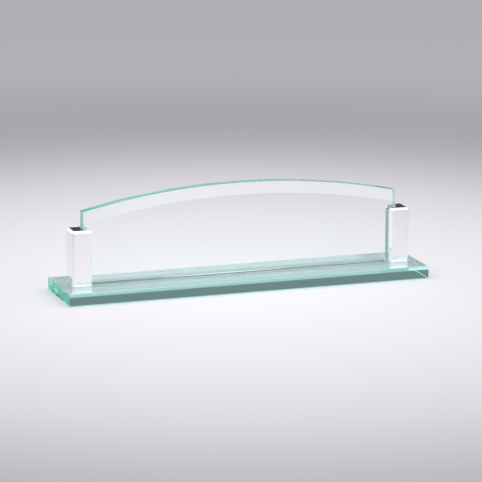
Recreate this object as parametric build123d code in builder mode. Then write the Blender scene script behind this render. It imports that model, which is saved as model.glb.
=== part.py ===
"""Low, wide jade-glass arch award.

A thick glass sheet with an arched, bevelled top stands on edge along the middle of a flat glass
base. Its two ends sit in slots cut down the inner faces of two mirror-polished square bars, and
clear adhesive films hold the pieces together. Nothing moves.

Units are millimetres. The origin is the centre of the base's underside, +Z is up, +X runs along
the length of the award, and the bevelled front faces -Y.
"""

import os

from build123d import *

# Base: one rectangular glass plate, bevelled along its front top edge, lying on the table
BASE_LENGTH = 305.0
BASE_DEPTH = 62.0
GLASS_THICKNESS = 10.0          # both glass pieces are cut from the same sheet
BASE_BEVEL = 2.6                # polished 45 degree bevel along the front only
BASE_ARRIS = 0.3                # seamed edges everywhere else

# Posts: solid square-cut bars, bonded on end to the base
POST_WIDTH = 16.6               # along X
POST_DEPTH = 18.6               # along Y
POST_HEIGHT = 45.2
POST_INSET = 8.8                # from the end of the base to the post's outer face
POST_TOP_BEVEL = 1.8
POST_EDGE_BEVEL = 1.6

# Slot down each post's inner face, open at the top, which takes the end of the panel
SLOT_ENGAGEMENT = 6.0           # how far the panel reaches into the post
BOND_GAP = 0.15                 # adhesive in the slot, round the three hidden sides of the glass
FOOT_BOND = 0.15                # adhesive under the posts and under the panel

# Panel: glass sheet on edge, straight ends, one circular arc across the top
PANEL_END_HEIGHT = 59.4
PANEL_RISE = 15.2               # from the ends to the crown of the arc
PANEL_BEVEL_WIDTH = 9.4         # band across the front, following the arc
PANEL_BEVEL_DEPTH = 1.5         # how much the band takes off the edge
PANEL_ARRIS = 0.4                # seamed edges everywhere else

# Places worked out from the sizes above
base_top = GLASS_THICKNESS
bond_top = base_top + FOOT_BOND
post_outer_x = BASE_LENGTH / 2 - POST_INSET
post_inner_x = post_outer_x - POST_WIDTH
post_centre_x = (post_outer_x + post_inner_x) / 2
panel_half = post_inner_x + SLOT_ENGAGEMENT
slot_floor_x = panel_half + BOND_GAP
slot_width = GLASS_THICKNESS + 2 * BOND_GAP
slot_depth = slot_floor_x - post_inner_x
panel_back_y = GLASS_THICKNESS / 2

os.makedirs("parts", exist_ok=True)


def finish(builder, name):
    """Label a finished piece and write it under its own name."""
    builder.part.label = name
    export_step(builder.part, f"parts/{name}.step")


# Base plate
with BuildPart() as base_plate:
    with BuildSketch(Plane.XY):
        Rectangle(BASE_LENGTH, BASE_DEPTH)
    extrude(amount=GLASS_THICKNESS)
    top_edges = base_plate.faces().sort_by(Axis.Z)[-1].edges().sort_by(Axis.Y)
    chamfer(top_edges[0], BASE_BEVEL)
    chamfer(base_plate.edges().filter_by(Axis.Z), BASE_ARRIS)
    chamfer(base_plate.faces().sort_by(Axis.Z)[0].edges(), BASE_ARRIS)
    top = base_plate.faces().sort_by(Axis.Z)[-1]
    chamfer(top.edges().sort_by(Axis.Y)[1:], BASE_ARRIS)
finish(base_plate, "base_plate")

# Arched panel: drawn on its back face and extruded towards the front
with BuildPart() as arch_panel:
    with BuildSketch(Plane.XZ.offset(-panel_back_y)):
        with BuildLine():
            foot = Line((-panel_half, bond_top), (panel_half, bond_top))
            right_end = Line(foot @ 1, (panel_half, base_top + PANEL_END_HEIGHT))
            crown = (0, base_top + PANEL_END_HEIGHT + PANEL_RISE)
            left_top = (-panel_half, base_top + PANEL_END_HEIGHT)
            ThreePointArc(right_end @ 1, crown, left_top)
            Line(left_top, foot @ 0)
        make_face()
    extrude(amount=GLASS_THICKNESS)
    front_face = arch_panel.faces().sort_by(Axis.Y)[0]
    front_arc = front_face.edges().filter_by(GeomType.CIRCLE)
    chamfer(front_arc, PANEL_BEVEL_WIDTH, PANEL_BEVEL_DEPTH, reference=front_face)
    back_arc = arch_panel.faces().sort_by(Axis.Y)[-1].edges().filter_by(GeomType.CIRCLE)
    chamfer(back_arc, PANEL_ARRIS)
    chamfer(arch_panel.edges().filter_by(Axis.Z), PANEL_ARRIS)
    foot_face = arch_panel.faces().sort_by(Axis.Z)[0]
    chamfer(foot_face.edges().filter_by(Axis.X), PANEL_ARRIS)
finish(arch_panel, "arch_panel")

# Posts and the adhesive round them: the left one (-1) is the mirror image of the right one (+1)
for side, side_name in ((-1, "left"), (1, "right")):
    post_plane = Plane(origin=(side * post_centre_x, 0, 0))
    slot_plane = Plane(origin=(side * (post_inner_x + slot_depth / 2), 0, 0))
    liner_plane = Plane(origin=(side * (post_inner_x + SLOT_ENGAGEMENT / 2), 0, 0))

    with BuildPart() as post:
        with BuildSketch(post_plane.offset(bond_top)):
            Rectangle(POST_WIDTH, POST_DEPTH)
        extrude(amount=POST_HEIGHT)
        chamfer(post.faces().sort_by(Axis.Z)[-1].edges(), POST_TOP_BEVEL)
        chamfer(post.edges().filter_by(Axis.Z), POST_EDGE_BEVEL)
        with BuildSketch(slot_plane.offset(bond_top)):
            Rectangle(slot_depth, slot_width)
        extrude(amount=POST_HEIGHT, mode=Mode.SUBTRACT)
    finish(post, f"{side_name}_post")

    # Film between the post's foot and the base, following the post's section
    foot_outline = post.faces().sort_by(Axis.Z)[0]
    with BuildPart() as post_adhesive:
        with BuildSketch(Plane.XY.offset(base_top)):
            add(foot_outline.moved(Location((0, 0, -bond_top))))
        extrude(amount=FOOT_BOND)
    finish(post_adhesive, f"{side_name}_post_adhesive")

    # Three-sided film that lines the slot up to the post's top
    with BuildPart() as slot_adhesive:
        with BuildSketch(slot_plane.offset(bond_top)):
            Rectangle(slot_depth, slot_width)
        extrude(amount=POST_HEIGHT - POST_TOP_BEVEL)
        with BuildSketch(liner_plane.offset(bond_top)):
            Rectangle(SLOT_ENGAGEMENT, GLASS_THICKNESS)
        extrude(amount=POST_HEIGHT, mode=Mode.SUBTRACT)
    finish(slot_adhesive, f"{side_name}_slot_adhesive")

# Film under the foot of the panel, its whole length
with BuildPart() as panel_adhesive:
    with BuildSketch(Plane.XY.offset(base_top)):
        Rectangle(2 * panel_half, GLASS_THICKNESS - 2 * PANEL_ARRIS)
    extrude(amount=FOOT_BOND)
finish(panel_adhesive, "panel_foot_adhesive")
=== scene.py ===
"""Low, wide jade-glass arch award on a pale studio floor.

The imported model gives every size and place. The two glass pieces and the two mirror-polished
posts keep their CAD meshes and get materials here. The adhesive films are drawn in by a hair.
Everything is in metres.
"""
from math import cos, radians, sin

import bmesh
import bpy
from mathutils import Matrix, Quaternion, Vector


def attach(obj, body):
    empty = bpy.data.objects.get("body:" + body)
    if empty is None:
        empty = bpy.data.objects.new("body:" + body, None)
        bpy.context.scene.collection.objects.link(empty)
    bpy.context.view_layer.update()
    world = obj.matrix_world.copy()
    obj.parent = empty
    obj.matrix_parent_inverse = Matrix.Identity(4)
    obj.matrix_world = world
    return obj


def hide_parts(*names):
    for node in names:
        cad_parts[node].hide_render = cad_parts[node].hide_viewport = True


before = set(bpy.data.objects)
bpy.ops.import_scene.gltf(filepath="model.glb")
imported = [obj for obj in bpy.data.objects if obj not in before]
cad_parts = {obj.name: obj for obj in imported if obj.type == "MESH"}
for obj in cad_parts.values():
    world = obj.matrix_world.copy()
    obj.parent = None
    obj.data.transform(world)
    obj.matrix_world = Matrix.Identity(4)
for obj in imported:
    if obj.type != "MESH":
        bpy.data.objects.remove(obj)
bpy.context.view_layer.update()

MM = 0.001

# Viewpoint: a long lens, a little to the left of the front and above the table
CAMERA_AZIMUTH = radians(-19.36)
CAMERA_ELEVATION = radians(13.1)
CAMERA_ROLL = radians(0.22)
CAMERA_DISTANCE = 2.6
CAMERA_LENS = 240.2
CAMERA_REACH = 200.0            # how far it sees, so that the floor runs to its horizon
CAMERA_TARGET = Vector((0.8 * MM, 0.0, 35.5 * MM))

# Floor
FLOOR_GAP = 0.3 * MM            # air under the base, so that its underside mirrors as glass does
FLOOR_SIZE = 120.0
FLOOR_PAINTED_LIGHT_CENTRE = (-0.01, 0.0, 0.0)    # the centre of the painted pool of light, under the award
FLOOR_TINT = (1.0, 0.98, 1.03)
# Painted light: floor brightness at each distance from that centre, a pool of light painted
# brightest under the award and darker further off
FLOOR_PAINTED_LIGHT_LEVELS = ((0.0, 0.82), (0.15, 0.77), (0.4, 0.6), (0.6, 0.33), (0.8, 0.35), (1.0, 0.42))

# Light
SOFTBOX_PLACE = (0.0, -0.15, 1.1)
SOFTBOX_SIZE = 1.1
SOFTBOX_POWER = 3.3
WORLD_BRIGHT = 1.1
WORLD_DIM = 0.22
WORLD_GLOW = 1.55
LIGHT_BOUNCES = 96              # light bounces many times inside thick glass

# Finishes
GLASS_IOR = 1.52
BASE_TINT = (0.13, 0.86, 0.8, 1.0)
BASE_DENSITY = 12.0
PANEL_TINT = (0.13, 0.85, 0.75, 1.0)
PANEL_DENSITY = 5.0
END_ROUGHNESS = 0.5             # the panel's ends are ground, not polished
FOOT_SHARE = 0.4                # its foot is ground more finely than the ends
# Painted dark reflection: base colour level of the posts' flat tops, which are the same bright
# metal as the sides
POST_TOP_PAINTED_DARK = 0.02
ADHESIVE_IOR = 1.5
FILM_CLEARANCE = 0.03 * MM      # keeps clear faces from coinciding with their neighbours


def material(name):
    """A new material: its node tree, its Principled shader and its output."""
    made = bpy.data.materials.new(name)
    made.use_nodes = True
    tree = made.node_tree
    shader = tree.nodes["Principled BSDF"]
    output = tree.nodes["Material Output"]
    return made, tree, shader, output


def add(tree, kind, values=(), **settings):
    """A new node with its named settings, and inputs set from (index or name, value) pairs."""
    made = tree.nodes.new(kind)
    for key, value in settings.items():
        setattr(made, key, value)
    for key, value in values:
        if isinstance(value, bpy.types.NodeSocket):
            tree.links.new(value, made.inputs[key])
        else:
            made.inputs[key].default_value = value
    return made


def maths(tree, operation, *values):
    """The result of one sum on levels."""
    return add(tree, "ShaderNodeMath", enumerate(values), operation=operation).outputs[0]


def mix(tree, amount, low, high):
    """A level between low and high."""
    return add(tree, "ShaderNodeMix", [(0, amount), (2, low), (3, high)]).outputs[0]


def noise(tree, scale, low, high):
    """Fine mottling in object space, running from low to high."""
    place = add(tree, "ShaderNodeTexCoord").outputs["Object"]
    grain = add(tree, "ShaderNodeTexNoise", [("Vector", place), ("Scale", scale)]).outputs["Fac"]
    return add(tree, "ShaderNodeMapRange",
               [("Value", grain), ("From Min", 0.3), ("From Max", 0.7),
                ("To Min", low), ("To Max", high)]).outputs["Result"]


def grey(tree, level):
    """A neutral colour from one level."""
    return add(tree, "ShaderNodeCombineColor",
               [("Red", level), ("Green", level), ("Blue", level)]).outputs["Color"]


def facing(tree, axis, operation, limit):
    """1 where the surface faces along an axis of the piece, 0 elsewhere."""
    normal = add(tree, "ShaderNodeTexCoord").outputs["Normal"]
    part = add(tree, "ShaderNodeSeparateXYZ", [(0, normal)]).outputs[axis]
    return maths(tree, operation, part, limit)


def jade_glass(name, tint, density, end_roughness):
    """Green-tinted sheet glass: polished faces, and ends and foot ground by end_roughness."""
    made, tree, shader, output = material(name)
    tree.links.new(grey(tree, noise(tree, scale=900.0, low=0.985, high=1.0)),
                   shader.inputs["Base Color"])
    shader.inputs["Transmission Weight"].default_value = 1.0
    shader.inputs["IOR"].default_value = GLASS_IOR
    ends = maths(tree, "ADD", facing(tree, "X", "LESS_THAN", -0.6),
                 facing(tree, "X", "GREATER_THAN", 0.6))
    foot = facing(tree, "Z", "LESS_THAN", -0.9)
    ground = maths(tree, "MULTIPLY_ADD", foot, FOOT_SHARE, ends)
    polish = noise(tree, scale=500.0, low=0.0, high=0.012)
    tree.links.new(maths(tree, "MULTIPLY_ADD", ground, end_roughness, polish),
                   shader.inputs["Roughness"])
    body = add(tree, "ShaderNodeVolumeAbsorption", [("Color", tint), ("Density", density)])
    tree.links.new(body.outputs[0], output.inputs["Volume"])
    return made


def polished_metal(name):
    """Mirror-polished bright metal, with a painted dark reflection on the flat tops."""
    made, tree, shader, _ = material(name)
    # Painted dark reflection: the upward-facing flat tops get a near-black base colour
    top = facing(tree, "Z", "GREATER_THAN", 0.98)
    level = mix(tree, top, noise(tree, scale=700.0, low=0.92, high=0.94), POST_TOP_PAINTED_DARK)
    tree.links.new(grey(tree, level), shader.inputs["Base Color"])
    shader.inputs["Metallic"].default_value = 1.0
    tree.links.new(noise(tree, scale=400.0, low=0.04, high=0.07), shader.inputs["Roughness"])
    return made


def clear_adhesive(name):
    """Water-clear cured adhesive, a little uneven."""
    made, tree, shader, _ = material(name)
    tree.links.new(grey(tree, noise(tree, scale=800.0, low=0.97, high=1.0)),
                   shader.inputs["Base Color"])
    shader.inputs["Transmission Weight"].default_value = 1.0
    shader.inputs["IOR"].default_value = ADHESIVE_IOR
    tree.links.new(noise(tree, scale=600.0, low=0.0, high=0.03), shader.inputs["Roughness"])
    return made


def floor_paper(name):
    """Pale paper with a painted pool of light: brightest under the award, painted darker with
    distance.
    """
    made, tree, shader, _ = material(name)
    shader.inputs["Roughness"].default_value = 0.8
    shader.inputs["Specular IOR Level"].default_value = 0.1
    place = add(tree, "ShaderNodeTexCoord").outputs["Object"]
    # Painted light: the floor's colour is lighter near the award and darker further off,
    # standing in for the light's fall-off
    away = add(tree, "ShaderNodeVectorMath", [(0, place), (1, FLOOR_PAINTED_LIGHT_CENTRE)],
               operation="DISTANCE").outputs["Value"]
    ramp = add(tree, "ShaderNodeValToRGB", [(0, away)])
    ramp.color_ramp.interpolation = "B_SPLINE"
    stops = ramp.color_ramp.elements
    for distance, _ in FLOOR_PAINTED_LIGHT_LEVELS[1:-1]:
        stops.new(distance)
    for stop, (_, level) in zip(stops, FLOOR_PAINTED_LIGHT_LEVELS):
        stop.color = (*(level * part for part in FLOOR_TINT), 1.0)
    tree.links.new(ramp.outputs["Color"], shader.inputs["Base Color"])
    return made


def set_material(obj, made):
    obj.data.materials.clear()
    obj.data.materials.append(made)


def fade(tree, way, axis, start, end, low=0.0, high=1.0):
    """A smooth change of level along one axis of the sky."""
    return add(tree, "ShaderNodeMapRange",
               [("Value", way.outputs[axis]), ("From Min", start), ("From Max", end),
                ("To Min", low), ("To Max", high)],
               interpolation_type="SMOOTHSTEP").outputs["Result"]


def studio_sky(tree):
    """Bright all round, with dim and bright places low down.

    It is dim behind the award and straight in front of it, where the flat tops and the base
    look, and brightest in front to the right, which the posts' reflections in the base show.
    """
    way = add(tree, "ShaderNodeSeparateXYZ",
              [(0, add(tree, "ShaderNodeTexCoord").outputs["Generated"])])
    low_down = fade(tree, way, "Z", 0.235, 0.262, 1.0, 0.0)
    higher = maths(tree, "MULTIPLY", fade(tree, way, "Z", 0.6, 0.72, 1.0, 0.0),
                   fade(tree, way, "X", -0.15, 0.1))
    behind = maths(tree, "MULTIPLY", maths(tree, "MAXIMUM", low_down, higher),
                   fade(tree, way, "Y", 0.2, 0.7))
    ahead = maths(tree, "MULTIPLY", low_down, fade(tree, way, "Y", -0.935, -0.96))
    level = mix(tree, maths(tree, "MAXIMUM", behind, ahead), WORLD_BRIGHT, WORLD_DIM)
    beside = maths(tree, "MULTIPLY", fade(tree, way, "Y", -0.8, -0.88),
                   fade(tree, way, "X", 0.2, 0.26))
    return mix(tree, maths(tree, "MULTIPLY", low_down, beside), level, WORLD_GLOW)


# Glass and posts: the CAD meshes, with their finishes
base_glass = jade_glass("jade_glass_base", BASE_TINT, BASE_DENSITY, 0.0)
panel_glass = jade_glass("jade_glass_panel", PANEL_TINT, PANEL_DENSITY, END_ROUGHNESS)
metal = polished_metal("polished_metal")
adhesive = clear_adhesive("clear_adhesive")
set_material(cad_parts["base_plate"], base_glass)
set_material(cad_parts["arch_panel"], panel_glass)
for name in ("left_post", "right_post"):
    set_material(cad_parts[name], metal)

# Adhesive films: the CAD films, drawn in by a hair so that no two clear faces coincide
for name in [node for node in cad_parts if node.endswith("adhesive")]:
    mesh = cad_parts[name].data.copy()
    shape = bmesh.new()
    shape.from_mesh(mesh)
    bmesh.ops.remove_doubles(shape, verts=shape.verts, dist=0.001 * MM)
    shape.normal_update()
    for vert in shape.verts:
        vert.co -= vert.normal * FILM_CLEARANCE * vert.calc_shell_factor()
    shape.to_mesh(mesh)
    shape.free()
    film = bpy.data.objects.new(f"{name}_film", mesh)
    bpy.context.scene.collection.objects.link(film)
    set_material(film, adhesive)
    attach(film, "root")
    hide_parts(name)

# Floor
bpy.ops.mesh.primitive_plane_add(size=FLOOR_SIZE, location=(0.0, 0.0, -FLOOR_GAP))
floor = bpy.context.object
floor.name = "studio_floor"
set_material(floor, floor_paper("floor_paper"))

# Sky
world = bpy.data.worlds.new("studio")
bpy.context.scene.world = world
world.use_nodes = True
sky = world.node_tree
sky.links.new(grey(sky, studio_sky(sky)), sky.nodes["Background"].inputs["Color"])

# Softbox overhead
lamp = bpy.data.lights.new("softbox", "AREA")
lamp.shape = "SQUARE"
lamp.size = SOFTBOX_SIZE
lamp.energy = SOFTBOX_POWER
softbox = bpy.data.objects.new("softbox", lamp)
softbox.location = SOFTBOX_PLACE
bpy.context.scene.collection.objects.link(softbox)

# Light paths and display
cycles = bpy.context.scene.cycles
cycles.max_bounces = LIGHT_BOUNCES
cycles.transmission_bounces = LIGHT_BOUNCES
cycles.glossy_bounces = LIGHT_BOUNCES
cycles.blur_glossy = 0.0
bpy.context.scene.view_settings.view_transform = "Standard"

# Camera
lens = bpy.data.cameras.new("camera")
lens.lens = CAMERA_LENS
lens.clip_end = CAMERA_REACH
camera = bpy.data.objects.new("camera", lens)
bpy.context.scene.collection.objects.link(camera)
away = Vector((sin(CAMERA_AZIMUTH) * cos(CAMERA_ELEVATION),
               -cos(CAMERA_AZIMUTH) * cos(CAMERA_ELEVATION),
               sin(CAMERA_ELEVATION)))
camera.location = CAMERA_TARGET + away * CAMERA_DISTANCE
roll = Quaternion((0.0, 0.0, 1.0), CAMERA_ROLL)
camera.rotation_euler = ((-away).to_track_quat("-Z", "Y") @ roll).to_euler()
bpy.context.scene.camera = camera
